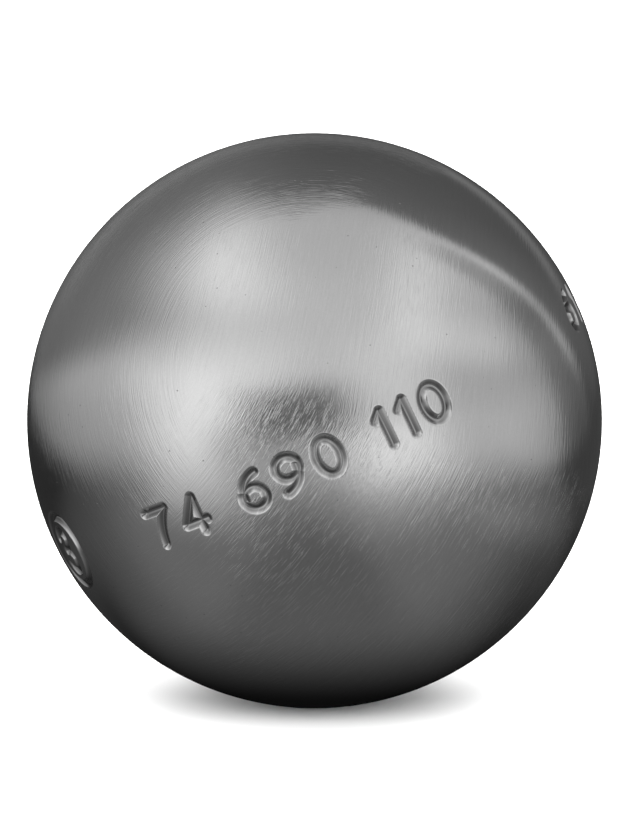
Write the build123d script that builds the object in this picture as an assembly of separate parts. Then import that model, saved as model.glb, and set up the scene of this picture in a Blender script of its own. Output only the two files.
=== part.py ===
from build123d import *

import os
from math import cos, degrees, radians, sin, sqrt, tan

# Ball and wall, in millimetres
BALL_DIAMETER = 74.0
WALL = 6.06

# Welded joint between the half shells, in millimetres and degrees
ROOT_GAP = 0.8
ROOT_FACE = 1.2
BEVEL_ANGLE = 30.0
SPIGOT_WALL = 1.6
SPIGOT_CHAMFER = 0.4
SPIGOT_FIT = 0.05
REBATE_DEPTH = 3.0

# How the boule lies, in degrees: the marks follow one great circle, whose axis leans to the left.
# The angles count along that circle from the front to the right.
MARK_LEAN = 25.5
JOINT_ANGLE = 52.5
SIZE_MARK_ANGLE = -4.2
SET_MARK_ANGLE = 75.4
RING_MARK_ANGLE = -69.2

# What the marks say: the size numbers are the diameter in millimetres, the weight in grams and the
# hardness, the others are the number of the set and that of the boule in its set
STEEL_DENSITY = 0.00785
WEIGHT_STEP = 10.0
HARDNESS = 110
SET_NUMBER = 614
BOULE_NUMBER = 3

# Cut of the marks, in millimetres. A digit's box and the ring are measured along the middle of the cut.
RING_DIAMETER = 9.6
DIGIT_HEIGHT = 4.5
DIGIT_WIDTH = 3.0
ONE_WIDTH = 1.0
DIGIT_GAP = 0.8
WORD_GAP = 3.2
GROOVE_WIDTH = 1.4
GROOVE_DEPTH = 0.5

# Sizes that follow from the ones above
BALL_RADIUS = BALL_DIAMETER / 2
INNER_RADIUS = BALL_RADIUS - WALL
SPIGOT_RADIUS = INNER_RADIUS + SPIGOT_WALL
REBATE_RADIUS = SPIGOT_RADIUS + SPIGOT_FIT
LAND_RADIUS = SPIGOT_RADIUS + ROOT_FACE
HALF_GAP = ROOT_GAP / 2
SPIGOT_END = HALF_GAP + REBATE_DEPTH
GROOVE_FLOOR = BALL_RADIUS - GROOVE_DEPTH

# Strokes of each digit in a box of one by one: two points are a straight cut and three are an arc.
# A loop is an ellipse as wide as the box, given by its middle and its half height.
BOWL = 0.31
WAIST = 0.52
STROKES = {
    "1": [((0.0, 0.78), (1.0, 1.0)), ((1.0, 1.0), (1.0, 0.0))],
    "2": [
        ((0.03, 0.74), (0.50, 1.0), (0.97, 0.70)),
        ((0.97, 0.70), (0.62, 0.36), (0.0, 0.0)),
        ((0.0, 0.0), (1.0, 0.0)),
    ],
    "3": [
        ((0.05, 0.90), (0.93, 0.76), (0.40, 0.53)),
        ((0.40, 0.53), (1.0, 0.27), (0.02, 0.12)),
    ],
    "4": [((0.70, 0.0), (0.70, 1.0)), ((0.70, 1.0), (0.0, 0.30)), ((0.0, 0.30), (1.0, 0.30))],
    "5": [
        ((0.92, 1.0), (0.12, 1.0)),
        ((0.12, 1.0), (0.06, 0.56)),
        ((0.06, 0.56), (1.0, 0.34), (0.02, 0.06)),
    ],
    "6": [((0.90, 0.97), (0.30, 0.74), (0.08, BOWL))],
    "7": [((0.0, 1.0), (1.0, 1.0)), ((1.0, 1.0), (0.56, 0.5), (0.35, 0.0))],
    "9": [((0.10, 0.03), (0.70, 0.26), (0.92, 1 - BOWL))],
}
LOOPS = {
    "0": [(0.5, 0.5)],
    "6": [(BOWL, BOWL)],
    "8": [(WAIST / 2, WAIST / 2), ((1 + WAIST) / 2, (1 - WAIST) / 2)],
    "9": [(1 - BOWL, BOWL)],
}

# The circle of the marks, and the joint, which holds that circle's axis and misses every mark
mark_frame = Plane(
    origin=(0, 0, 0),
    x_dir=(0, -1, 0),
    z_dir=(-sin(radians(MARK_LEAN)), 0, cos(radians(MARK_LEAN))),
)


def on_ball(longitude, latitude, radius):
    """Point at a longitude and latitude of the mark circle, at a distance from the centre."""
    along = mark_frame.x_dir * cos(radians(longitude)) + mark_frame.y_dir * sin(radians(longitude))
    outward = along * cos(radians(latitude)) + mark_frame.z_dir * sin(radians(latitude))
    return outward * radius


joint_frame = Plane(
    origin=(0, 0, 0),
    x_dir=mark_frame.z_dir,
    z_dir=on_ball(JOINT_ANGLE - 90, 0, 1),
)


def spun(edges):
    """Solid of revolution about the joint's axis, from edges drawn in the X and Z of that frame."""
    return joint_frame.location * revolve(make_face(edges), Axis.Z)


def bevel_edge():
    """Radius and height at which the front shell's bevel meets the outside of the ball."""
    slope = tan(radians(BEVEL_ANGLE))
    offset = HALF_GAP - LAND_RADIUS * slope
    square = 1 + slope**2
    root = sqrt((offset * slope) ** 2 - square * (offset**2 - BALL_RADIUS**2))
    radius = (root - offset * slope) / square
    return radius, offset + slope * radius


def ball_arc(radius, start, end):
    """Arc of the ball's profile between two points of it."""
    middle = Vector(start[0] + end[0], 0, start[1] + end[1]).normalized() * radius
    return ThreePointArc((start[0], 0, start[1]), middle, (end[0], 0, end[1]))


def path(*points):
    """Straight edges through points given as radius and height."""
    return Polyline(*[(radius, 0, height) for radius, height in points])


def make_front_half_shell():
    """Half with the spigot, which centres the halves and backs the weld."""
    edge = bevel_edge()
    joint = path(
        edge,
        (LAND_RADIUS, HALF_GAP),
        (SPIGOT_RADIUS, HALF_GAP),
        (SPIGOT_RADIUS, SPIGOT_CHAMFER - SPIGOT_END),
        (SPIGOT_RADIUS - SPIGOT_CHAMFER, -SPIGOT_END),
        (INNER_RADIUS, -SPIGOT_END),
        (INNER_RADIUS, 0),
    )
    outside = ball_arc(BALL_RADIUS, (0, BALL_RADIUS), edge)
    inside = ball_arc(INNER_RADIUS, (INNER_RADIUS, 0), (0, INNER_RADIUS))
    axis = path((0, INNER_RADIUS), (0, BALL_RADIUS))
    return spun([*outside.edges(), *joint.edges(), *inside.edges(), *axis.edges()])


def make_rear_half_shell():
    """Half with the rebate, on whose floor the spigot seats and so sets the root gap."""
    radius, height = bevel_edge()
    floor_radius = sqrt(INNER_RADIUS**2 - SPIGOT_END**2)
    joint = path(
        (radius, -height),
        (LAND_RADIUS, -HALF_GAP),
        (REBATE_RADIUS, -HALF_GAP),
        (REBATE_RADIUS, -SPIGOT_END),
        (floor_radius, -SPIGOT_END),
    )
    outside = ball_arc(BALL_RADIUS, (0, -BALL_RADIUS), (radius, -height))
    inside = ball_arc(INNER_RADIUS, (floor_radius, -SPIGOT_END), (0, -INNER_RADIUS))
    axis = path((0, -INNER_RADIUS), (0, -BALL_RADIUS))
    return spun([*outside.edges(), *joint.edges(), *inside.edges(), *axis.edges()])


def make_weld_bead():
    """Filler that lies on the spigot, fills the gap and the bevels, and is turned flush outside."""
    radius, height = bevel_edge()
    sides = path(
        (radius, height),
        (LAND_RADIUS, HALF_GAP),
        (SPIGOT_RADIUS, HALF_GAP),
        (SPIGOT_RADIUS, -HALF_GAP),
        (LAND_RADIUS, -HALF_GAP),
        (radius, -height),
    )
    outside = ball_arc(BALL_RADIUS, (radius, -height), (radius, height))
    return spun([*sides.edges(), *outside.edges()])


def stroke_face(points):
    """Round-ended cut on a flat sheet, along a line or an arc."""
    middle_line = Line(*points) if len(points) == 2 else ThreePointArc(*points)
    return SlotArc(middle_line.edge(), GROOVE_WIDTH)


def loop_face(half_width, half_height):
    """Cut on a flat sheet that runs round an ellipse."""
    half_groove = GROOVE_WIDTH / 2
    outside = Ellipse(half_width + half_groove, half_height + half_groove)
    return outside - Ellipse(half_width - half_groove, half_height - half_groove)


def digit_width(digit):
    """Width of a digit's box."""
    return ONE_WIDTH if digit == "1" else DIGIT_WIDTH


def digit_face(digit):
    """Whole cut of a digit on a flat sheet, with the middle of its box at the origin."""
    width = digit_width(digit)
    face = Sketch()
    for stroke in STROKES.get(digit, []):
        face += stroke_face([((x - 0.5) * width, (y - 0.5) * DIGIT_HEIGHT) for x, y in stroke])
    for middle, half_height in LOOPS.get(digit, []):
        loop = loop_face(width / 2, half_height * DIGIT_HEIGHT)
        face += Pos(0, (middle - 0.5) * DIGIT_HEIGHT) * loop
    return face


def cutter(face, longitude):
    """Flat cut set on the mark circle, which takes the steel down to the floor of the grooves."""
    outward = on_ball(longitude, 0, 1)
    sheet = Plane(origin=outward * BALL_RADIUS, x_dir=mark_frame.z_dir.cross(outward), z_dir=outward)
    return extrude(sheet * face, amount=WALL / 2, both=True) - Sphere(GROOVE_FLOOR)


def number_cutters(number, longitude, centred):
    """Cutters of a number, with its middle or else its first digit at a longitude."""
    places = []
    reach = 0
    for sign in number:
        if sign == " ":
            reach += WORD_GAP
            continue
        places.append((sign, reach + digit_width(sign) / 2))
        reach += digit_width(sign) + GROOVE_WIDTH + DIGIT_GAP
    length = reach - GROOVE_WIDTH - DIGIT_GAP
    shift = length / 2 if centred else places[0][1]
    return [
        cutter(digit_face(sign), longitude + degrees((place - shift) / BALL_RADIUS))
        for sign, place in places
    ]


front_half_shell = make_front_half_shell()
rear_half_shell = make_rear_half_shell()
weld_bead = make_weld_bead()

weight = STEEL_DENSITY * (front_half_shell.volume + rear_half_shell.volume + weld_bead.volume)
weight = WEIGHT_STEP * round(weight / WEIGHT_STEP)
size_numbers = f"{BALL_DIAMETER:.0f} {weight:.0f} {HARDNESS:.0f}"
ring = loop_face(RING_DIAMETER / 2, RING_DIAMETER / 2)
front_cutters = number_cutters(size_numbers, SIZE_MARK_ANGLE, centred=True)
front_cutters += number_cutters(f"{BOULE_NUMBER:.0f}", RING_MARK_ANGLE, centred=True)
front_cutters.append(cutter(ring, RING_MARK_ANGLE))
rear_cutters = number_cutters(f"{SET_NUMBER:.0f}", SET_MARK_ANGLE, centred=False)

parts = {
    "front_half_shell": front_half_shell - front_cutters,
    "rear_half_shell": rear_half_shell - rear_cutters,
    "weld_bead": weld_bead,
}

os.makedirs("parts", exist_ok=True)
for name, shape in parts.items():
    shape.label = name
    export_step(shape, f"parts/{name}.step")
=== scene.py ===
from math import asin, atan2, cos, pi, radians, sin, sqrt, tan

import bpy
import numpy as np
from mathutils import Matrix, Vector
from mathutils.geometry import delaunay_2d_cdt


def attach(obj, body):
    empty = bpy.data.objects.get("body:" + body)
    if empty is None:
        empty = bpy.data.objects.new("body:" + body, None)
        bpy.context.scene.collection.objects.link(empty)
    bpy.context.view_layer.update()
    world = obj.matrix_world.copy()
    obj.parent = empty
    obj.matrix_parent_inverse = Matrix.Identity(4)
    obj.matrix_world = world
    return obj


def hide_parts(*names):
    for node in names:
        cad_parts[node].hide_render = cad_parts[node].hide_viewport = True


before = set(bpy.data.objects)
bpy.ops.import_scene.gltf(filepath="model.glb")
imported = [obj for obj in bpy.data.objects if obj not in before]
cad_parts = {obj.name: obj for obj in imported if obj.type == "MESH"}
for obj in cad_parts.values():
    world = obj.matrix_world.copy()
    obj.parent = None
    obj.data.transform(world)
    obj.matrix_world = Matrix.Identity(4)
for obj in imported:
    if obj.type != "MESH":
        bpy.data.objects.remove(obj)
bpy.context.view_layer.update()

MM = 0.001

# The ball and its welded joint in millimetres and degrees, as the solids have them
BALL_RADIUS = 37.0
INNER_RADIUS = 30.94
SPIGOT_RADIUS = 32.54
REBATE_RADIUS = 32.59
LAND_RADIUS = 33.74
SPIGOT_CHAMFER = 0.4
HALF_GAP = 0.4
SPIGOT_END = 3.4
BEVEL_ANGLE = 30.0
MARK_LEAN = 25.5
JOINT_ANGLE = 52.5

# The cut numbers, as the solids have them
SIZE_NUMBERS, SIZE_ANGLE = "74 690 110", -4.2
SET_NUMBER, SET_ANGLE = "614", 75.4
BOULE_NUMBER, RING_ANGLE = "3", -69.2
RING_DIAMETER = 9.6
DIGIT_HEIGHT = 4.5
DIGIT_WIDTH = 3.0
ONE_WIDTH = 1.0
DIGIT_GAP = 0.8
WORD_GAP = 3.2
GROOVE_WIDTH = 1.4
GROOVE_DEPTH = 0.5

# Finish of the cuts in millimetres: the rounding of the floor, the wear of the brinks, the step over
# which a slope is measured and the least depth that has one
GROOVE_ROUNDING = 0.22
BRINK = 0.03
SLOPE_STEP = 0.02
LEAST_DEPTH = 1e-5

# Strokes of each digit in a box of one by one: two points are a straight cut and three are an arc.
# A loop is an ellipse as wide as the box, given by its middle and its half height.
BOWL = 0.31
STROKES = {
    "1": [((0.0, 0.78), (1.0, 1.0)), ((1.0, 1.0), (1.0, 0.0))],
    "3": [
        ((0.05, 0.90), (0.93, 0.76), (0.40, 0.53)),
        ((0.40, 0.53), (1.0, 0.27), (0.02, 0.12)),
    ],
    "4": [((0.70, 0.0), (0.70, 1.0)), ((0.70, 1.0), (0.0, 0.30)), ((0.0, 0.30), (1.0, 0.30))],
    "6": [((0.90, 0.97), (0.30, 0.74), (0.08, BOWL))],
    "7": [((0.0, 1.0), (1.0, 1.0)), ((1.0, 1.0), (0.56, 0.5), (0.35, 0.0))],
    "9": [((0.10, 0.03), (0.70, 0.26), (0.92, 1 - BOWL))],
}
LOOPS = {"0": (0.5, 0.5), "6": (BOWL, BOWL), "9": (1 - BOWL, BOWL)}
ARC_STEPS = 64
LOOP_STEPS = 200

# Spacing of the mesh in millimetres: the widest, the finest, how far from the middle of a cut each
# doubling of the finest still holds, and where the widest starts
OPEN_SPACING = 1.1
FINE_SPACING = 0.085
FINE_REACH = (0.98, 1.3, 1.9, 3.0)
OPEN_REACH = 3.3

# How far the widest rows stop short of the joint, as a share of their spacing, and how near two points
# of the flat map may come
EDGE_ROOM = 0.6
MERGE_GAP = 1e-9

# Columns round the joint, which all pieces share, and rows of a shell's inside and of the bead's outside
COLUMNS = 240
INNER_ROWS = 24
BEAD_ROWS = 8

# Places in the texture map, which is one by one: how far a shell's outside reaches from the middle, the
# disc in a corner for what is hidden, and the radii of the bead's outside and of its hidden faces
SHELL_MAP_REACH = 0.485
CORNER_MAP_MIDDLE, CORNER_MAP_REACH = 0.07, 0.066
BEAD_MAP, BEAD_HIDDEN_MAP = (0.485, 0.385), (0.375, 0.34)

# The mesh attribute that says how deep a point lies in a cut, from zero to one
CUT_DEPTH = "cut_depth"

# How the boule is seen: distance of the camera in metres, its height in degrees, the photograph's size
# and the ball's radius and middle in pixels, and the width of the camera's sensor in millimetres
CAMERA_DISTANCE = 0.6
CAMERA_HEIGHT = 8.0
PHOTO_WIDTH, PHOTO_HEIGHT = 630, 840
BALL_PIXELS = 287.7
BALL_PIXEL = (314.5, 420.6)
SENSOR = 36.0


def unit(vector):
    """A vector, or each row of vectors, with a length of one."""
    vector = np.asarray(vector, dtype=float)
    return vector / np.linalg.norm(vector, axis=-1, keepdims=True)


# The circle that the numbers follow, and the axis of the welded joint
MARK_AXIS = np.array([-sin(radians(MARK_LEAN)), 0.0, cos(radians(MARK_LEAN))])
MARK_FRONT = np.array([0.0, -1.0, 0.0])
MARK_RIGHT = np.cross(MARK_AXIS, MARK_FRONT)


def around(angle):
    """Outward direction at an angle of the number circle."""
    return cos(radians(angle)) * MARK_FRONT + sin(radians(angle)) * MARK_RIGHT


JOINT_AXIS = around(JOINT_ANGLE - 90)
JOINT_SIDE = np.cross(JOINT_AXIS, MARK_AXIS)

# The brushing runs in circles about the slanting axis on the ball's lower part, and about the left axis
# on its left and top. On its upper part it fans out from a point to the right and over the ball, given
# in ball radii.
SLANT_AXIS = unit([-0.81, -0.38, 0.47])
LEFT_AXIS = unit([0.0, -0.942, 0.334])
FAN_POINT = (1.2, 6.0)


# Cut numbers

def arc_line(start, middle, end):
    """Points along the arc through three points."""
    (ax, ay), (bx, by), (cx, cy) = start, middle, end
    twice = 2 * (ax * (by - cy) + bx * (cy - ay) + cx * (ay - by))
    squares = [x * x + y * y for x, y in (start, middle, end)]
    x = (squares[0] * (by - cy) + squares[1] * (cy - ay) + squares[2] * (ay - by)) / twice
    y = (squares[0] * (cx - bx) + squares[1] * (ax - cx) + squares[2] * (bx - ax)) / twice
    turns = np.unwrap([atan2(py - y, px - x) for px, py in (start, middle, end)])
    angles = np.linspace(turns[0], turns[2], ARC_STEPS + 1)
    radius = sqrt((ax - x) ** 2 + (ay - y) ** 2)
    return np.stack([x + radius * np.cos(angles), y + radius * np.sin(angles)], axis=1)


def loop_line(half_width, half_height, rise=0.0):
    """Points round an ellipse, whose middle may be raised."""
    angles = np.linspace(0, 2 * pi, LOOP_STEPS + 1)
    return np.stack([half_width * np.cos(angles), rise + half_height * np.sin(angles)], axis=1)


def digit_width(digit):
    """Width of a digit's box."""
    return ONE_WIDTH if digit == "1" else DIGIT_WIDTH


def digit_lines(digit):
    """Middle lines of a digit's cuts, with the middle of its box at the origin."""
    width = digit_width(digit)
    lines = []
    for stroke in STROKES.get(digit, []):
        spots = [((x - 0.5) * width, (y - 0.5) * DIGIT_HEIGHT) for x, y in stroke]
        lines.append(np.array(spots) if len(spots) == 2 else arc_line(*spots))
    if digit in LOOPS:
        middle, half_height = LOOPS[digit]
        rise = (middle - 0.5) * DIGIT_HEIGHT
        lines.append(loop_line(width / 2, half_height * DIGIT_HEIGHT, rise))
    return lines


def number_marks(number, angle, centred):
    """Each digit's lines with its angle on the number circle."""
    places = []
    reach = 0.0
    for sign in number:
        if sign == " ":
            reach += WORD_GAP
            continue
        places.append((sign, reach + digit_width(sign) / 2))
        reach += digit_width(sign) + GROOVE_WIDTH + DIGIT_GAP
    length = reach - GROOVE_WIDTH - DIGIT_GAP
    shift = length / 2 if centred else places[0][1]
    turn = 180 / pi / BALL_RADIUS
    return [(digit_lines(sign), angle + (place - shift) * turn) for sign, place in places]


def line_gap(spots, line):
    """Distance of each spot of a flat sheet from a line of points."""
    start = line[:-1]
    run = line[1:] - start
    away = spots[:, None] - start
    along = np.clip((away * run).sum(2) / (run * run).sum(1), 0, 1)
    away -= along[..., None] * run
    return np.sqrt((away * away).sum(2).min(1))


def cut_gap(outward, marks):
    """Distance in millimetres of each outward direction from the middle of the nearest cut."""
    gaps = np.full(len(outward), 2 * OPEN_REACH)
    for lines, angle in marks:
        middle = around(angle)
        sideways = outward @ np.cross(MARK_AXIS, middle) * BALL_RADIUS
        upwards = outward @ MARK_AXIS * BALL_RADIUS
        reach = max(np.abs(line).max() for line in lines) + OPEN_REACH
        far = np.maximum(np.abs(sideways), np.abs(upwards)) > reach
        near = np.flatnonzero((outward @ middle > 0) & ~far)
        spots = np.stack([sideways[near], upwards[near]], axis=1)
        for line in lines:
            gaps[near] = np.minimum(gaps[near], line_gap(spots, line))
    return gaps


def cut_height(outward, marks):
    """Height of the surface over the ball: cuts with slanting walls, a round floor and worn brinks."""
    half = np.hypot(GROOVE_WIDTH / 2, GROOVE_ROUNDING)
    gap = np.hypot(cut_gap(outward, marks), GROOVE_ROUNDING)
    depth = GROOVE_DEPTH * (half - gap) / (half - GROOVE_ROUNDING)
    return -BRINK * np.logaddexp(0, depth / BRINK)


def surface(outward, marks):
    """Points of the cut surface in millimetres, their normals, and their depth as a share of the cut's."""
    height = cut_height(outward, marks)
    normals = outward.copy()
    cut = np.flatnonzero(height < -LEAST_DEPTH)
    middle = outward[cut]
    side = unit(np.cross(MARK_AXIS, middle))
    step = SLOPE_STEP / BALL_RADIUS
    for across in (side, np.cross(middle, side)):
        rise = cut_height(unit(middle + step * across), marks)
        rise -= cut_height(unit(middle - step * across), marks)
        normals[cut] -= across * (rise / (2 * step * BALL_RADIUS))[:, None]
    return outward * (BALL_RADIUS + height)[:, None], unit(normals), -height / GROOVE_DEPTH


# Meshes of the three pieces

def bevel_edge():
    """Radius and height at which a bevel meets the outside of the ball."""
    slope = tan(radians(BEVEL_ANGLE))
    offset = HALF_GAP - LAND_RADIUS * slope
    square = 1 + slope**2
    root = sqrt((offset * slope) ** 2 - square * (offset**2 - BALL_RADIUS**2))
    radius = (root - offset * slope) / square
    return radius, offset + slope * radius


def ring(radius, height):
    """Points of a ring about the joint's axis, in the columns that all pieces share."""
    angles = np.arange(COLUMNS) * 2 * pi / COLUMNS
    spokes = np.cos(angles)[:, None] * MARK_AXIS + np.sin(angles)[:, None] * JOINT_SIDE
    return radius * spokes + height * JOINT_AXIS


def chart(outward, pole):
    """Flat map of the half ball about a pole, which keeps small shapes true."""
    side = np.cross(pole, MARK_AXIS)
    lift = 1 + outward @ pole
    return np.stack([outward @ MARK_AXIS / lift, outward @ side / lift], axis=1)


def uncharted(flat, pole):
    """Outward directions of points of the flat map."""
    square = (flat**2).sum(1, keepdims=True)
    side = np.cross(pole, MARK_AXIS)
    return (2 * flat[:, :1] * MARK_AXIS + 2 * flat[:, 1:] * side + (1 - square) * pole) / (1 + square)


def open_spots(pole, edge_angle):
    """Evenly spread directions over a half ball, short of its edge."""
    side = np.cross(pole, MARK_AXIS)
    step = OPEN_SPACING / BALL_RADIUS
    spots = [pole[None]]
    for row, slant in enumerate(np.arange(step, edge_angle - EDGE_ROOM * step, step)):
        count = round(2 * pi * sin(slant) / step)
        angles = (np.arange(count) + 0.5 * (row % 2)) * 2 * pi / count
        spokes = np.cos(angles)[:, None] * MARK_AXIS + np.sin(angles)[:, None] * side
        spots.append(cos(slant) * pole + sin(slant) * spokes)
    return np.concatenate(spots)


def fine_spots(marks):
    """Directions on grids that are finest along the cuts and open out away from them."""
    angles = [angle for lines, angle in marks]
    size = FINE_SPACING / BALL_RADIUS
    half = max(np.abs(line).max() for lines, angle in marks for line in lines) + OPEN_REACH
    low, high = (round(radians(value) / size) for value in (min(angles), max(angles)))
    margin = int(half / FINE_SPACING)
    columns, rows = np.meshgrid(np.arange(low - margin, high + margin), np.arange(-margin, margin))
    columns, rows = columns.ravel(), rows.ravel()
    turn, rise = columns * size, np.arcsin(rows * size)
    flat = np.cos(turn)[:, None] * MARK_FRONT + np.sin(turn)[:, None] * MARK_RIGHT
    outward = np.cos(rise)[:, None] * flat + np.sin(rise)[:, None] * MARK_AXIS
    gaps = cut_gap(outward, marks)
    kept = np.zeros(len(gaps), bool)
    for level, reach in enumerate(FINE_REACH):
        stride = 2**level
        kept |= (columns % stride == 0) & (rows % stride == 0) & (gaps < reach)
    return outward[kept]


def shell_outside(pole, mark_groups):
    """Directions, triangles and marks of a half ball's outside. Its edge ring comes first."""
    marks = [mark for group in mark_groups for mark in group]
    radius, height = bevel_edge()
    edge = ring(radius, height if pole @ JOINT_AXIS > 0 else -height) / BALL_RADIUS
    wide = open_spots(pole, atan2(radius, height))
    wide = wide[cut_gap(wide, marks) > OPEN_REACH]
    spots = np.concatenate([edge, wide] + [fine_spots(group) for group in mark_groups])
    flat = [Vector(spot) for spot in chart(spots, pole)]
    spots, _, faces, *_ = delaunay_2d_cdt(flat, [], [], 0, MERGE_GAP, False)
    return uncharted(np.array(spots), pole), [list(face) for face in faces], marks


def bands(first, count, flip, closed=False):
    """Four-cornered faces between rings of the shared columns."""
    faces = []
    for row in range(count if closed else count - 1):
        here, there = first + row * COLUMNS, first + (row + 1) % count * COLUMNS
        for column in range(COLUMNS):
            after = (column + 1) % COLUMNS
            face = [here + column, there + column, there + after, here + after]
            faces.append(face[::-1] if flip else face)
    return faces


def add_piece(name, steel, spots, faces, normals, maps, depths):
    """Adds one piece, with how deep each of its points lies in a cut."""
    mesh = bpy.data.meshes.new(name)
    mesh.from_pydata((spots * MM).tolist(), [], faces)
    mesh.polygons.foreach_set("use_smooth", np.repeat(True, len(faces)))
    mesh.normals_split_custom_set(normals.tolist())
    layer = mesh.uv_layers.new(name="OFBake")
    layer.uv.foreach_set("vector", maps.astype(np.float32).ravel())
    mesh.attributes.new(CUT_DEPTH, "FLOAT", "POINT").data.foreach_set("value", depths)
    mesh.materials.append(steel)
    piece = bpy.data.objects.new(name, mesh)
    bpy.context.collection.objects.link(piece)
    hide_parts(name)
    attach(piece, "root")


def face_normal(spots, face):
    """Normal of a face, by two sides of a triangle or by the diagonals."""
    if len(face) == 3:
        return unit(np.cross(spots[face[1]] - spots[face[0]], spots[face[2]] - spots[face[0]]))
    return unit(np.cross(spots[face[2]] - spots[face[0]], spots[face[3]] - spots[face[1]]))


def hidden_shell_faces(first, rows, side):
    """Faces from a shell's edge ring over its hidden rings to the pole of the inside."""
    last = first + rows * COLUMNS
    edge_band, pole_fan = [], []
    for column in range(COLUMNS):
        after = (column + 1) % COLUMNS
        edge_band.append([column, first + column, first + after, after])
        pole_fan.append([last - COLUMNS + column, last, last - COLUMNS + after])
    faces = edge_band + bands(first, rows, False) + pole_fan
    return faces if side > 0 else [face[::-1] for face in faces]


def shell_map(outward, pole, outside_corners, hidden_corners, rows, side):
    """Texture map of a shell: the outside fills it, and what is hidden lies in a corner of it."""
    flat = chart(outward, pole)
    area_true = flat / np.sqrt(1 + (flat**2).sum(1, keepdims=True))
    scale = SHELL_MAP_REACH / np.sqrt((area_true**2).sum(1).max())
    spin = np.arange(COLUMNS) * 2 * pi / COLUMNS
    circle = np.stack([np.cos(spin), np.sin(spin) * side], axis=1)
    radii = np.linspace(CORNER_MAP_REACH, 0.0, rows + 2)
    hidden = [CORNER_MAP_MIDDLE + radius * circle for radius in radii[:-1]]
    hidden = np.concatenate(hidden + [np.full((1, 2), CORNER_MAP_MIDDLE)])
    past_edge = hidden_corners - len(outward) + COLUMNS
    places = np.where(hidden_corners < COLUMNS, hidden_corners, past_edge)
    return np.concatenate([0.5 + scale * area_true[outside_corners], hidden[places]])


def add_shell(name, pole, mark_groups, joint, steel):
    """Adds a half shell: its cut outside, the joint's rings and the inside."""
    outward, faces, marks = shell_outside(pole, mark_groups)
    outside, normals, cuts = surface(outward, marks)
    side = 1 if pole @ JOINT_AXIS > 0 else -1
    last_radius, last_height = joint[-1]
    inner_edge = atan2(last_radius, side * last_height)
    inner = [inner_edge * (1 - row / INNER_ROWS) for row in range(1, INNER_ROWS)]
    rings = joint + [(INNER_RADIUS * sin(slant), side * INNER_RADIUS * cos(slant)) for slant in inner]
    hidden = [ring(radius, height) for radius, height in rings]
    spots = np.concatenate([outside] + hidden + [INNER_RADIUS * pole[None]])
    hidden_faces = hidden_shell_faces(len(outside), len(rings), side)
    outside_corners = np.array(faces).ravel()
    hidden_corners = np.concatenate([np.array(face) for face in hidden_faces])
    maps = shell_map(outward, pole, outside_corners, hidden_corners, len(rings), side)
    flat_normals = [face_normal(spots, face) for face in hidden_faces for corner in face]
    normals = np.concatenate([normals[outside_corners], np.array(flat_normals)])
    depths = np.concatenate([cuts, np.zeros(len(spots) - len(cuts))])
    add_piece(name, steel, spots, faces + hidden_faces, normals, maps, depths)


def add_weld_bead(steel):
    """Adds the ring of weld metal, turned flush with the ball."""
    radius, height = bevel_edge()
    slant = asin(height / BALL_RADIUS)
    arc = np.linspace(-slant, slant, BEAD_ROWS + 1)
    rings = [(BALL_RADIUS * cos(angle), BALL_RADIUS * sin(angle)) for angle in arc]
    rings += [(LAND_RADIUS, HALF_GAP), (SPIGOT_RADIUS, HALF_GAP)]
    rings += [(SPIGOT_RADIUS, -HALF_GAP), (LAND_RADIUS, -HALF_GAP)]
    spots = np.concatenate([ring(*place) for place in rings])
    faces = bands(0, len(rings), True, closed=True)
    hidden_radii = np.linspace(*BEAD_HIDDEN_MAP, len(rings) - BEAD_ROWS)
    radii = np.concatenate([np.linspace(*BEAD_MAP, BEAD_ROWS + 1), hidden_radii])
    normals, maps = [], []
    for place, face in enumerate(faces):
        row = place // COLUMNS
        plain = face_normal(spots, face)
        for corner in face:
            column = corner % COLUMNS
            ring_row = row if corner // COLUMNS == row else row + 1
            turn = 2 * pi * column / COLUMNS
            if column == 0 and place % COLUMNS == COLUMNS - 1:
                turn = 2 * pi
            maps.append((0.5 + radii[ring_row] * cos(turn), 0.5 + radii[ring_row] * sin(turn)))
            normals.append(spots[corner] / BALL_RADIUS if row < BEAD_ROWS else plain)
    normals, maps, depths = np.array(normals), np.array(maps), np.zeros(len(spots))
    add_piece("weld_bead", steel, spots, faces, normals, maps, depths)


# Shader maths

class Wire:
    """One output of a node, so that shader maths reads as plain expressions."""

    def __init__(self, board, source):
        self.board = board
        self.source = source

    def __add__(self, other):
        return self.board.math("ADD", self, other)

    def __sub__(self, other):
        return self.board.math("SUBTRACT", self, other)

    def __rsub__(self, other):
        return self.board.math("SUBTRACT", other, self)

    def __mul__(self, other):
        return self.board.math("MULTIPLY", self, other)

    def __truediv__(self, other):
        return self.board.math("DIVIDE", self, other)

    def __pow__(self, other):
        return self.board.math("POWER", self, other)

    __radd__ = __add__
    __rmul__ = __mul__


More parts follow.
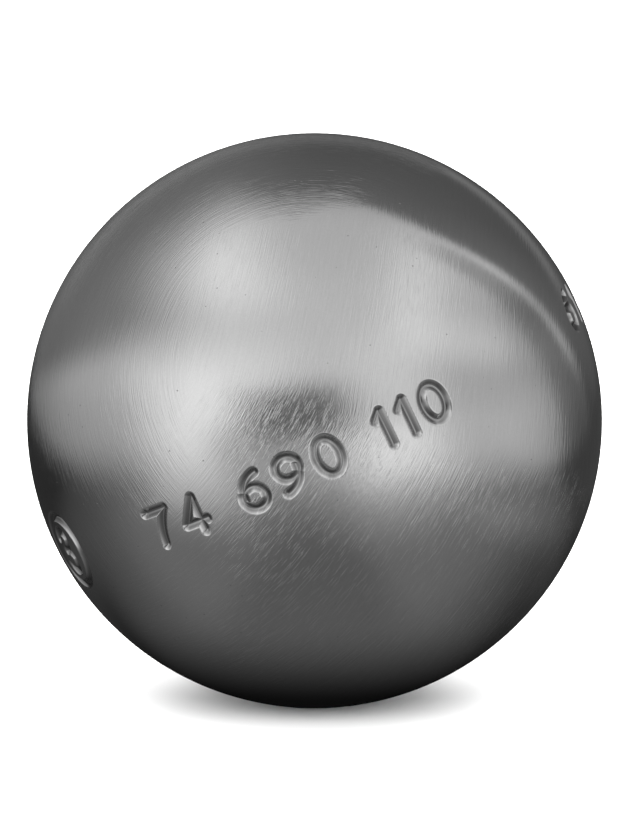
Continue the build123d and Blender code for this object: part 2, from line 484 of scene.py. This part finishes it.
class Board:
    """A node tree that is wired up by expressions."""

    def __init__(self, tree):
        self.tree = tree
        tree.nodes.clear()

    def node(self, kind, settings=None, inputs=None, output=0):
        """Adds a node: its settings first, then the values or wires of its sockets."""
        made = self.tree.nodes.new(kind)
        for name, value in (settings or {}).items():
            setattr(made, name, value)
        for name, value in (inputs or {}).items():
            if isinstance(value, Wire):
                self.tree.links.new(value.source, made.inputs[name])
            else:
                made.inputs[name].default_value = value
        return Wire(self, made.outputs[output]) if len(made.outputs) else None

    def math(self, operation, *values):
        return self.node("ShaderNodeMath", {"operation": operation}, dict(enumerate(values)))

    def vector(self, operation, *values, output="Vector"):
        return self.node("ShaderNodeVectorMath", {"operation": operation}, dict(enumerate(values)), output)

    def dot(self, one, other):
        return self.vector("DOT_PRODUCT", one, other, output="Value")

    def reach(self, across, up):
        """Distance from the origin of a flat map."""
        return self.math("SQRT", across * across + up * up)

    def scaled(self, vector, factor):
        inputs = {0: vector, "Scale": factor}
        return self.node("ShaderNodeVectorMath", {"operation": "SCALE"}, inputs, "Vector")

    def smooth(self, value, low, high, start=0.0, end=1.0):
        """Goes smoothly from start to end as the value goes from low to high."""
        settings = {"interpolation_type": "SMOOTHSTEP"}
        inputs = {"Value": value, "From Min": low, "From Max": high, "To Min": start, "To Max": end}
        return self.node("ShaderNodeMapRange", settings, inputs)

    def noise(self, vector, scale, detail=2.0, roughness=0.5):
        inputs = {"Vector": vector, "Scale": scale, "Detail": detail, "Roughness": roughness}
        return self.node("ShaderNodeTexNoise", {"noise_dimensions": "3D"}, inputs)


# Brushed steel

# Brightness of the steel, the share of it that is left deep in a cut as painted shade, and the depths, as
# shares of the cut's depth, over which the painted shade darkens it and over which the brushing ends
STEEL_TONE = 0.60
PAINTED_CUT_SHADE = 0.52
PAINTED_CUT_SHADE_DEPTHS = (0.1, 0.7)
BRUSHED_DEPTHS = (0.02, 0.2)
# Tone that grain and streaks add at random, the painted glint that brightens the scratches and the painted
# shade that darkens the pits
GRAIN_TONE, STREAK_TONE, SCRATCH_PAINTED_GLINT, PIT_SHADE = 0.10, 0.06, 0.25, 0.35

# Roughness of the steel, what streaks and scratches add to it, and its spread along the brushing
PLAIN_ROUGHNESS = 0.13
STREAK_ROUGHNESS = 0.04
SCRATCH_ROUGHNESS = 0.10
SPREAD, SPREAD_TURN = 0.4, 0.42

# Streaks of the brushing in millimetres: length, width and an offset that sets each kind apart, and
# their depth. Scratches are the crests of their noise.
FINE_STREAKS, FINE_DEPTH = (0.9, 0.12, 0.0), 0.016
BROAD_STREAKS, BROAD_DEPTH = (1.7, 0.21, 31.0), 0.013
SCRATCHES, SCRATCH_DEPTH = (2.6, 0.06, 57.0), 0.005
SCRATCH_CREST = (0.18, 0.24)
STREAK_CRISPNESS = 0.6
LONG_STRETCH = 3.0

# How deep the streaks are on each part of the ball, as a share of their depth
FRONT_SHARE, LONG_SHARE, FAN_SHARE, LEFT_SHARE = 1.3, 1.6, 1.1, 1.2

# Borders of those parts in millimetres from the middle of the ball. Each fades from the first value
# to the second, slopes with the other direction and drifts by some millimetres.
DRIFT_SCALE = 0.07
FRONT_MIDDLE, FRONT_BORDER, FRONT_FOOT, FRONT_DRIFT = -1.0, (7.0, 14.0), (-22.0, -14.0), 6.0
UPPER_BORDER, UPPER_SLOPE, UPPER_DRIFT = (6.0, 11.0), 0.4, 12.0
TOP_BORDER, TOP_SLOPE, TOP_DRIFT = (27.5, 31.0), 0.25, 10.0
UPPER_LEFT_BORDER, UPPER_LEFT_SLOPE, UPPER_LEFT_DRIFT = (25.0, 31.0), 0.6, 14.0
LEFT_BORDER, LEFT_SLOPE, LEFT_DRIFT = (13.5, 17.5), 0.5, 6.0

# Where the lower streaks weaken, towards the bottom and towards the left, and what is left of them
LOW_BORDER, LOW_SHARE = (-34.0, -22.0), 0.6
LOWER_LEFT_BORDER, LOWER_LEFT_SHARE = (-15.0, -8.0), 0.45

# Grain per millimetre, and pits: their spacing and depth in millimetres, and their core and brink
GRAIN_SCALE, GRAIN_CRISPNESS = 4.0, 0.7
PIT_SPACING = 2.0
PIT_DEPTH = 0.02
PIT_EDGE = (0.02, 0.06)

# Keeps the heights on the ball within the range of the arc cosine
POLE_ROOM = 0.999


def new_finish(name):
    """A new material and its empty board."""
    material = bpy.data.materials.new(name)
    material.use_nodes = True
    return material, Board(material.node_tree)


def steel_finish():
    """Satin steel: brushed in several ways, with scratches, fine grain and a few pits, a painted glint on
    the scratches and painted shade in the cuts.
    """
    steel, board = new_finish("brushed_steel")
    place = board.node("ShaderNodeTexCoord", output="Object")
    spot = board.scaled(place, 1 / MM)
    side, depth, rise = (board.dot(spot, tuple(axis)) for axis in np.eye(3))

    def round_way(axis):
        """Where a spot lies along and across the brushing in circles about an axis."""
        height = board.dot(spot, tuple(axis))
        across = board.math("ARCCOSINE", height * (POLE_ROOM / BALL_RADIUS)) * BALL_RADIUS
        level = board.vector("SUBTRACT", spot, board.scaled(tuple(axis), height))
        return level, across, tuple(axis)

    def fan_way():
        """The same for brushing that fans out from a point over the ball."""
        over = BALL_RADIUS * FAN_POINT[1] - rise
        across = (side - BALL_RADIUS * FAN_POINT[0]) / over * (FAN_POINT[1] * BALL_RADIUS)
        level = board.node("ShaderNodeCombineXYZ", None, {"Y": depth, "Z": rise})
        return level, across, (1.0, 0.0, 0.0)

    def streaks(way, kind, stretch=1.0, detail=1.0):
        """Noise about zero that is drawn out along the brushing."""
        level, across, axis = way
        length, width, offset = kind
        along = board.scaled(level, 1 / (length * stretch))
        aside = board.scaled(axis, across / width + offset)
        return board.noise(board.vector("ADD", along, aside), 1.0, detail, STREAK_CRISPNESS) - 0.5

    def brushing(kind):
        """One kind of streaks, which runs its own way on each part of the ball."""
        short = streaks(slant_way, kind) * (front * FRONT_SHARE)
        slanting = short + streaks(slant_way, kind, LONG_STRETCH) * LONG_SHARE * (1 - front)
        fanned = streaks(fanned_way, kind, LONG_STRETCH) * FAN_SHARE
        left = streaks(left_way, kind, LONG_STRETCH) * LEFT_SHARE
        return (slanting * lower + fanned * upper) * (1 - leftmost) + left * leftmost

    # Parts of the ball, each from zero to one
    drift = board.noise(spot, DRIFT_SCALE) - 0.5
    off_middle = board.math("ABSOLUTE", side - FRONT_MIDDLE)
    front = board.smooth(off_middle + drift * FRONT_DRIFT, *FRONT_BORDER, 1.0, 0.0)
    front = front * board.smooth(rise + drift * FRONT_DRIFT, *FRONT_FOOT)
    rightward = board.math("MAXIMUM", side, 0.0)
    upper = board.smooth(rise + rightward * UPPER_SLOPE + drift * UPPER_DRIFT, *UPPER_BORDER)
    lower = (1 - upper) * board.smooth(rise, *LOW_BORDER, LOW_SHARE, 1.0)
    lower = lower * board.smooth(side, *LOWER_LEFT_BORDER, LOWER_LEFT_SHARE, 1.0)
    downward = board.math("MINIMUM", rise, 0.0)
    leftmost = board.smooth(drift * LEFT_DRIFT - side + downward * LEFT_SLOPE, *LEFT_BORDER)
    top = board.smooth(rise - side * TOP_SLOPE + drift * TOP_DRIFT, *TOP_BORDER)
    leftward = rise * UPPER_LEFT_SLOPE - side + drift * UPPER_LEFT_DRIFT
    upper_left = board.smooth(leftward, *UPPER_LEFT_BORDER)
    for patch in (top, upper_left):
        leftmost = board.math("MAXIMUM", leftmost, patch)

    # Streaks, scratches, grain and pits
    slant_way, fanned_way, left_way = round_way(SLANT_AXIS), fan_way(), round_way(LEFT_AXIS)
    fine, broad = brushing(FINE_STREAKS), brushing(BROAD_STREAKS)
    crests = streaks(slant_way, SCRATCHES, detail=0.0)
    scratches = board.smooth(crests, *SCRATCH_CREST) * lower * (1 - leftmost)
    grain = board.noise(spot, GRAIN_SCALE, roughness=GRAIN_CRISPNESS) - 0.5
    cell = board.node("ShaderNodeTexVoronoi", None, {"Vector": spot, "Scale": 1 / PIT_SPACING})
    pits = board.smooth(cell, *PIT_EDGE, 1.0, 0.0)

    # What they do to the surface
    cut = board.node("ShaderNodeAttribute", {"attribute_name": CUT_DEPTH}, output="Fac")
    height = fine * FINE_DEPTH + broad * BROAD_DEPTH - scratches * SCRATCH_DEPTH - pits * PIT_DEPTH
    height = height * board.smooth(cut, *BRUSHED_DEPTHS, 1.0, 0.0)
    bump = board.node("ShaderNodeBump", None, {"Strength": 1.0, "Distance": MM, "Height": height})
    # Grain and streaks vary the tone at random; brighter scratches are a painted glint and darker pits are
    # painted shade
    mottle_and_painted_light = grain * GRAIN_TONE + (broad + fine) * STREAK_TONE
    mottle_and_painted_light = mottle_and_painted_light + scratches * SCRATCH_PAINTED_GLINT - pits * PIT_SHADE
    # Deep in the cuts the steel's colour is darkened: painted shade
    tone = board.smooth(cut, *PAINTED_CUT_SHADE_DEPTHS, 1.0, PAINTED_CUT_SHADE) * STEEL_TONE * (1 + mottle_and_painted_light)
    grey = board.node("ShaderNodeCombineColor", None, {"Red": tone, "Green": tone, "Blue": tone})
    inputs = {
        "Base Color": grey,
        "Metallic": 1.0,
        "Roughness": PLAIN_ROUGHNESS + scratches * SCRATCH_ROUGHNESS + broad * STREAK_ROUGHNESS,
        "Anisotropic": SPREAD,
        "Anisotropic Rotation": SPREAD_TURN,
        "Normal": bump,
    }
    shader = board.node("ShaderNodeBsdfPrincipled", None, inputs)
    board.node("ShaderNodeOutputMaterial", None, {"Surface": shader})
    return steel


# The three pieces. The joint's rings are given by radius and height, from the outside to the inside.

brushed_steel = steel_finish()
front_joint = [
    (LAND_RADIUS, HALF_GAP),
    (SPIGOT_RADIUS, HALF_GAP),
    (SPIGOT_RADIUS, SPIGOT_CHAMFER - SPIGOT_END),
    (SPIGOT_RADIUS - SPIGOT_CHAMFER, -SPIGOT_END),
    (INNER_RADIUS, -SPIGOT_END),
    (INNER_RADIUS, 0.0),
]
rear_joint = [
    (LAND_RADIUS, -HALF_GAP),
    (REBATE_RADIUS, -HALF_GAP),
    (REBATE_RADIUS, -SPIGOT_END),
    (sqrt(INNER_RADIUS**2 - SPIGOT_END**2), -SPIGOT_END),
]
size_marks = number_marks(SIZE_NUMBERS, SIZE_ANGLE, centred=True)
ring_line = loop_line(RING_DIAMETER / 2, RING_DIAMETER / 2)
ring_marks = [([ring_line] + digit_lines(BOULE_NUMBER), RING_ANGLE)]
set_marks = number_marks(SET_NUMBER, SET_ANGLE, centred=False)
add_shell("front_half_shell", JOINT_AXIS, [size_marks, ring_marks], front_joint, brushed_steel)
add_shell("rear_half_shell", -JOINT_AXIS, [set_marks], rear_joint, brushed_steel)
add_weld_bead(brushed_steel)


# Studio

TO_CAMERA = np.array([0.0, -cos(radians(CAMERA_HEIGHT)), sin(radians(CAMERA_HEIGHT))])
UP = np.array([0.0, sin(radians(CAMERA_HEIGHT)), cos(radians(CAMERA_HEIGHT))])

# Every light is placed by the spot on the ball that mirrors it to the front: across and up from the
# ball's middle, in ball radii. A soft box has its middle, half width, half height, turn in degrees,
# softness of the edge and brightness.
SOFT_BOXES = {
    "left upper box": (-0.40, 0.54, 0.19, 0.19, 20, 0.80, 0.54),
    "left lower box": (-0.45, -0.04, 0.12, 0.26, 12, 0.85, 0.68),
    "left spill": (-0.52, 0.05, 0.41, 0.20, 0, 0.60, 0.51),
    "left low spill": (-0.45, -0.30, 0.26, 0.18, 0, 0.90, 0.22),
    "right box": (0.48, 0.46, 0.19, 0.20, -10, 0.60, 0.60),
    "right spill": (0.49, 0.03, 0.37, 0.27, 0, 0.35, 0.33),
    "right middle box": (0.55, 0.21, 0.16, 0.10, 0, 0.90, 0.24),
    "right low box": (0.60, -0.03, 0.22, 0.12, 0, 0.80, 0.40),
    "right low spill": (0.32, -0.34, 0.20, 0.16, 0, 0.90, 0.34),
    "middle screen": (0.0, 0.30, 0.40, 0.50, 0, 0.30, 0.60),
    "middle glow": (-0.02, 0.30, 0.27, 0.19, 0, 0.80, 0.13),
    "middle spill": (0.0, -0.30, 0.30, 0.16, 0, 0.90, 0.16),
    "low glow": (0.29, -0.11, 0.15, 0.09, 12, 0.80, 0.48),
}
# Openings in the light, where the camera stands
DARK_GAPS = {
    "camera": (-0.06, 0.02, 0.16, 0.085, 10, 0.55, 0.75),
    "stand": (-0.22, -0.09, 0.13, 0.08, 15, 0.80, 0.42),
}

# The boxes light a screen with a round upper edge: its middle, its reach on the left, over the middle,
# on the right and low on the right, and where it turns from each to the next. Low on the left it widens.
SCREEN_MIDDLE = (0.15, -0.10)
SCREEN_REACH = (0.94, 0.86, 0.775, 0.805)
SCREEN_TURNS = ((-0.35, 0.0), (0.0, 0.48), (0.5, 0.9))
LEFT_WIDENING, WIDENING_ACROSS, WIDENING_UP = 0.25, (-0.5, -0.2), (0.05, 0.3)

# The screen's edge is soft on the left. On the right it has a dark hem, which grows wider lower down,
# with a pale strip outside, and a faint glow lies beyond it.
SOFT_EDGE, SHARP_EDGE, EDGE_TURN = 0.13, 0.012, (-0.35, -0.08)
HEM_START, HEM_END = (-0.085, -0.068), (-0.030, -0.015)
HEM_SHADE, HEM_ACROSS = 0.50, (0.3, 0.5)
HEM_GROWTH, GROWTH_ACROSS = 0.03, (0.5, 0.8)
STRIP_LIGHT, STRIP_ACROSS, STRIP_UP = 0.40, (0.35, 0.85), (0.1, 0.3)
GLOW_LIGHT, GLOW_WIDTH, GLOW_UP = 0.05, 0.12, (0.0, 0.3)

# Light of the room, which grows upwards and on the left and fades towards the ball's rim
ROOM_LIGHT, ROOM_UP = (0.07, 0.165), (-0.2, 0.4)
LEFT_ROOM_LIGHT, LEFT_ROOM_ACROSS, LEFT_ROOM_UP = 0.12, (-0.5, 0.1), (-0.15, 0.2)
RIM_FADES = ((0.84, 0.96, 0.8), (0.97, 1.0, 0.6))

# A pale line of light round the upper rim
LINE_MIDDLE, LINE_REACH, LINE_WIDTH = 0.038, 0.941, 0.020
LINE_LIGHT, LINE_UP = 0.14, (0.3, 0.55)

# Light of the dome on the floor from the front, the top and behind, and by how far forward or up on
# the dome it comes. The backdrop is only seen.
FRONT_DOME_LIGHT, FRONT_DOME = 8.0, (0.2, 0.9)
TOP_DOME_LIGHT, TOP_DOME = 3.6, (0.5, 0.8)
BACK_DOME_LIGHT, BACK_DOME = 1.3, (-0.9, -0.2)
BACKDROP_LIGHT = 1.1

# Light of the table top, which glows though it is no lamp, by the distance from the ball's foot, forward
# and
# sideways, in ball radii: where it changes, and the share that is left or added there. Near the foot it is
# a painted shadow.
TABLE_LIGHT = 0.145
FOOT_SHADOW_RANGE, FOOT_SHADOW_SHARE = (0.28, 0.92), 0.06
BEHIND_RANGE, BEHIND_SHARES = (0.6, 2.0), (0.1, 0.6)
BEFORE_RANGE = (-0.3, 0.8)
FAR_RANGE, FAR_SHARE = (-1.6, -0.1), 0.35
RIGHT_RANGE, RIGHT_SHARE = (1.4, 2.4), 1.9
ASIDE_RANGE, ASIDE_FORWARD, ASIDE_MORE = (0.3, 0.7), (0.4, 1.0), 0.4
CLEAR_RANGE, CLEAR_FORWARD = (2.3, 4.7), 0.8

# Sizes of the studio in metres, how white the floor is, and how far the table top lies over the floor
# in millimetres
DOME_RADIUS, BACKDROP_RADIUS, FLOOR_SIZE = 4.0, 4.2, 8.0
DOME_SEGMENTS, DOME_RINGS = 48, 24
FLOOR_WHITE = (0.9, 0.9, 0.9, 1.0)
TABLE_LIFT = 0.05


def soft_shape(board, across, up, shape):
    """Brightness of a soft-edged rounded shape."""
    middle, level, half_width, half_height, turn, soft, strength = shape
    cosine, sine = cos(radians(turn)), sin(radians(turn))
    sideways, upwards = across - middle, up - level
    x = (sideways * cosine + upwards * sine) / half_width
    y = (upwards * cosine - sideways * sine) / half_height
    reach = (x**4 + y**4) ** 0.25
    return board.smooth(reach, 1 - soft, 1 + soft, strength, 0.0)


def beyond_screen(board, across, up):
    """How far a spot lies outside the screen's upper edge."""
    edge = board.smooth(across, *WIDENING_ACROSS, LEFT_WIDENING, 0.0)
    edge = edge * board.smooth(up, *WIDENING_UP, 1.0, 0.0) + SCREEN_REACH[0]
    for turn, reach, next_reach in zip(SCREEN_TURNS, SCREEN_REACH, SCREEN_REACH[1:]):
        edge = edge + board.smooth(across, *turn, 0.0, next_reach - reach)
    return board.reach(across - SCREEN_MIDDLE[0], up - SCREEN_MIDDLE[1]) - edge


def screened(board, across, up, beyond, light):
    """Light of the boxes within the screen, with its hem and strip, and the glow beyond it."""
    hem = board.smooth(beyond + board.smooth(across, *GROWTH_ACROSS, 0.0, HEM_GROWTH), *HEM_START)
    hem = hem * board.smooth(beyond, *HEM_END, 1.0, 0.0)
    strip = board.smooth(beyond, *HEM_END) * board.smooth(across, *STRIP_ACROSS)
    strip = strip * board.smooth(up, *STRIP_UP)
    soft = board.smooth(across, *EDGE_TURN, SOFT_EDGE, SHARP_EDGE)
    inside = board.smooth(beyond / soft, -1.0, 1.0, 1.0, 0.0)
    glow = board.smooth(beyond, 0.0, GLOW_WIDTH, GLOW_LIGHT, 0.0) * board.smooth(up, *GLOW_UP)
    light = light * (1 - hem * board.smooth(across, *HEM_ACROSS, 0.0, HEM_SHADE))
    return (light + strip * STRIP_LIGHT) * inside + glow


def studio_light():
    """Soft boxes all round, which only the steel mirrors."""
    world = bpy.data.worlds.new("studio")
    world.use_nodes = True
    bpy.context.scene.world = world
    board = Board(world.node_tree)
    way = board.node("ShaderNodeTexCoord", output="Generated")
    mirror = board.vector("NORMALIZE", board.vector("ADD", way, tuple(TO_CAMERA)))
    across, up = board.dot(mirror, (1.0, 0.0, 0.0)), board.dot(mirror, tuple(UP))
    light = sum(soft_shape(board, across, up, shape) for shape in SOFT_BOXES.values())
    light = screened(board, across, up, beyond_screen(board, across, up), light)
    light = light + board.smooth(up, *ROOM_UP, *ROOM_LIGHT)
    left_room = board.smooth(across, *LEFT_ROOM_ACROSS, LEFT_ROOM_LIGHT, 0.0)
    light = light + left_room * board.smooth(up, *LEFT_ROOM_UP)
    rim = board.reach(across, up)
    for start, end, share in RIM_FADES:
        light = light * board.smooth(rim, start, end, 1.0, share)
    off_line = board.math("ABSOLUTE", board.reach(across, up - LINE_MIDDLE) - LINE_REACH)
    line = board.smooth(off_line, 0.0, LINE_WIDTH, LINE_LIGHT, 0.0)
    light = light + line * board.smooth(up, *LINE_UP)
    for shape in DARK_GAPS.values():
        light = light * (1 - soft_shape(board, across, up, shape))
    background = board.node("ShaderNodeBackground", None, {"Strength": light})
    board.node("ShaderNodeOutputWorld", None, {"Surface": background})


def plain_finish(name, kind, inputs):
    """Plain material of a stage object."""
    material, board = new_finish(name)
    shader = board.node(kind, None, inputs)
    board.node("ShaderNodeOutputMaterial", None, {"Surface": shader})
    return material


def dome_finish():
    """White light on the floor from the front, the top and a little from behind."""
    material, board = new_finish("dome_white")
    place = board.vector("NORMALIZE", board.node("ShaderNodeTexCoord", output="Object"))
    front = board.dot(place, (0.0, -1.0, 0.0))
    high = board.smooth(board.dot(place, (0.0, 0.0, 1.0)), *TOP_DOME)
    strength = board.smooth(front, *FRONT_DOME, 0.0, FRONT_DOME_LIGHT)
    strength = strength + board.smooth(front, *BACK_DOME, BACK_DOME_LIGHT, 0.0)
    strength = strength * (1 - high) + high * TOP_DOME_LIGHT
    shader = board.node("ShaderNodeEmission", None, {"Strength": strength})
    board.node("ShaderNodeOutputMaterial", None, {"Surface": shader})
    return material


def table_finish():
    """Dark table top that glows, darkest under the ball, where its shadow is painted in, and behind it. It
    fades away before it meets the soft boxes.
    """
    material, board = new_finish("table_glow_painted_shadow")
    place = board.scaled(board.node("ShaderNodeTexCoord", output="Object"), 1 / (BALL_RADIUS * MM))
    away = board.vector("LENGTH", place, output="Value")
    forward = board.dot(place, (0.0, -1.0, 0.0))
    sideways = board.dot(place, (1.0, 0.0, 0.0))
    aside = board.math("ABSOLUTE", sideways)
    behind = board.smooth(away, *BEHIND_RANGE, *BEHIND_SHARES)
    shade = behind + (1 - behind) * board.smooth(forward, *BEFORE_RANGE)
    # The ball's shadow painted into the table's glow, darkest at its foot
    light = board.smooth(away, *FOOT_SHADOW_RANGE, FOOT_SHADOW_SHARE, 1.0) * shade
    light = light * board.smooth(forward, *FAR_RANGE, FAR_SHARE, 1.0)
    light = light * board.smooth(sideways, *RIGHT_RANGE, 1.0, RIGHT_SHARE)
    more = board.smooth(aside, *ASIDE_RANGE, 0.0, ASIDE_MORE) * board.smooth(forward, *ASIDE_FORWARD)
    light = light * (1 + more)
    top = board.node("ShaderNodeEmission", None, {"Strength": light * TABLE_LIGHT})
    clear = board.node("ShaderNodeBsdfTransparent")
    fade = board.smooth(away + forward * CLEAR_FORWARD, *CLEAR_RANGE)
    shader = board.node("ShaderNodeMixShader", None, {0: fade, 1: top, 2: clear})
    board.node("ShaderNodeOutputMaterial", None, {"Surface": shader})
    return material


def add_sphere(radius):
    """Adds a sphere round the ball."""
    bpy.ops.mesh.primitive_uv_sphere_add(segments=DOME_SEGMENTS, ring_count=DOME_RINGS, radius=radius)


def add_plane(height):
    """Adds a level plane at a height."""
    bpy.ops.mesh.primitive_plane_add(size=FLOOR_SIZE, location=(0, 0, height))


def add_stage(name, build, size, material, seen_by):
    """Adds an object of the studio that only some kinds of light rays meet."""
    build(size)
    stage = bpy.context.object
    stage.name = name
    stage.data.materials.append(material)
    for kind in ("camera", "diffuse", "glossy", "transmission", "volume_scatter", "shadow"):
        setattr(stage, f"visible_{kind}", kind in seen_by)


def add_studio():
    """Pale floor in a white dome, and the dark, glowing table top with the ball's painted shadow, which
    the steel mirrors.
    """
    floor_height = -BALL_RADIUS * MM
    table_height = floor_height + TABLE_LIFT * MM
    backdrop = plain_finish("backdrop_white", "ShaderNodeEmission", {"Strength": BACKDROP_LIGHT})
    floor = plain_finish("floor_white", "ShaderNodeBsdfDiffuse", {"Color": FLOOR_WHITE})
    add_stage("dome", add_sphere, DOME_RADIUS, dome_finish(), ("diffuse",))
    add_stage("backdrop", add_sphere, BACKDROP_RADIUS, backdrop, ("camera",))
    add_stage("floor", add_plane, floor_height, floor, ("camera", "diffuse", "shadow"))
    add_stage("table", add_plane, table_height, table_finish(), ("glossy",))


def add_camera():
    """Camera at the height and distance from which the ball fills its circle of the picture."""
    camera = bpy.data.cameras.new("camera")
    camera.sensor_fit = "HORIZONTAL"
    camera.sensor_width = SENSOR
    spread = tan(asin(BALL_RADIUS * MM / CAMERA_DISTANCE))
    camera.lens = SENSOR * BALL_PIXELS / spread / PHOTO_WIDTH
    camera.shift_x = (PHOTO_WIDTH / 2 - BALL_PIXEL[0]) / PHOTO_WIDTH
    camera.shift_y = (BALL_PIXEL[1] - PHOTO_HEIGHT / 2) / PHOTO_WIDTH
    holder = bpy.data.objects.new("camera", camera)
    bpy.context.collection.objects.link(holder)
    holder.location = Vector(TO_CAMERA * CAMERA_DISTANCE)
    holder.rotation_euler = (radians(90 - CAMERA_HEIGHT), 0, 0)
    bpy.context.scene.camera = holder


studio_light()
add_studio()
add_camera()
bpy.context.scene.view_settings.view_transform = "Standard"
